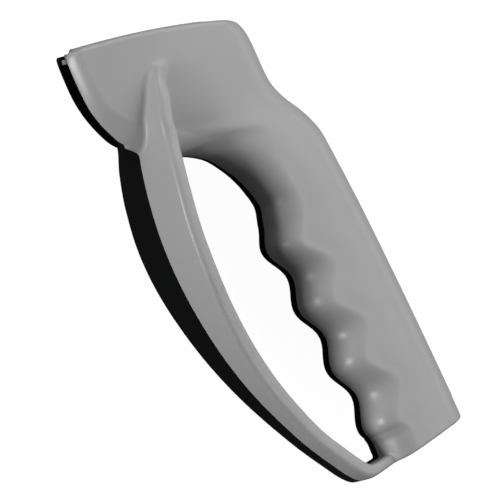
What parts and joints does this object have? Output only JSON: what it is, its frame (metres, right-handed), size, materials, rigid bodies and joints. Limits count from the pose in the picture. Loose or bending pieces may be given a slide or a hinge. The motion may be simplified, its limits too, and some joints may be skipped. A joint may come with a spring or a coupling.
{
  "type": "pull through knife sharpener",
  "caption": "Hand-held pull through knife sharpener with a full-length finger guard, a finger-grooved grip and a blade slot with crossed carbide plates.",
  "frame": {"origin": "middle of the bounding box, on the surface that the sharpener lies on", "axes": "+X from the head to the flat butt, +Y from the finger guard to the palm edge, +Z through the thickness towards the gray front shell"},
  "size_m": [0.144, 0.0664, 0.0282],
  "materials": {
    "gray_plastic": "fine moulded texture, mid gray",
    "black_plastic": "satin moulded surface, charcoal black",
    "carbide": "ground sintered carbide",
    "holder_metal": "dark die-cast metal",
    "plated_steel": "plated steel"
  },
  "bodies": {
    "root": {"front_shell": "gray_plastic", "rear_shell": "black_plastic", "front_carbide": "carbide", "rear_carbide": "carbide", "blade_holder": "holder_metal", "clamp_plate": "plated_steel", "clamp_screws": "plated_steel", "shell_screws": "plated_steel"}
  },
  "joints": []
}
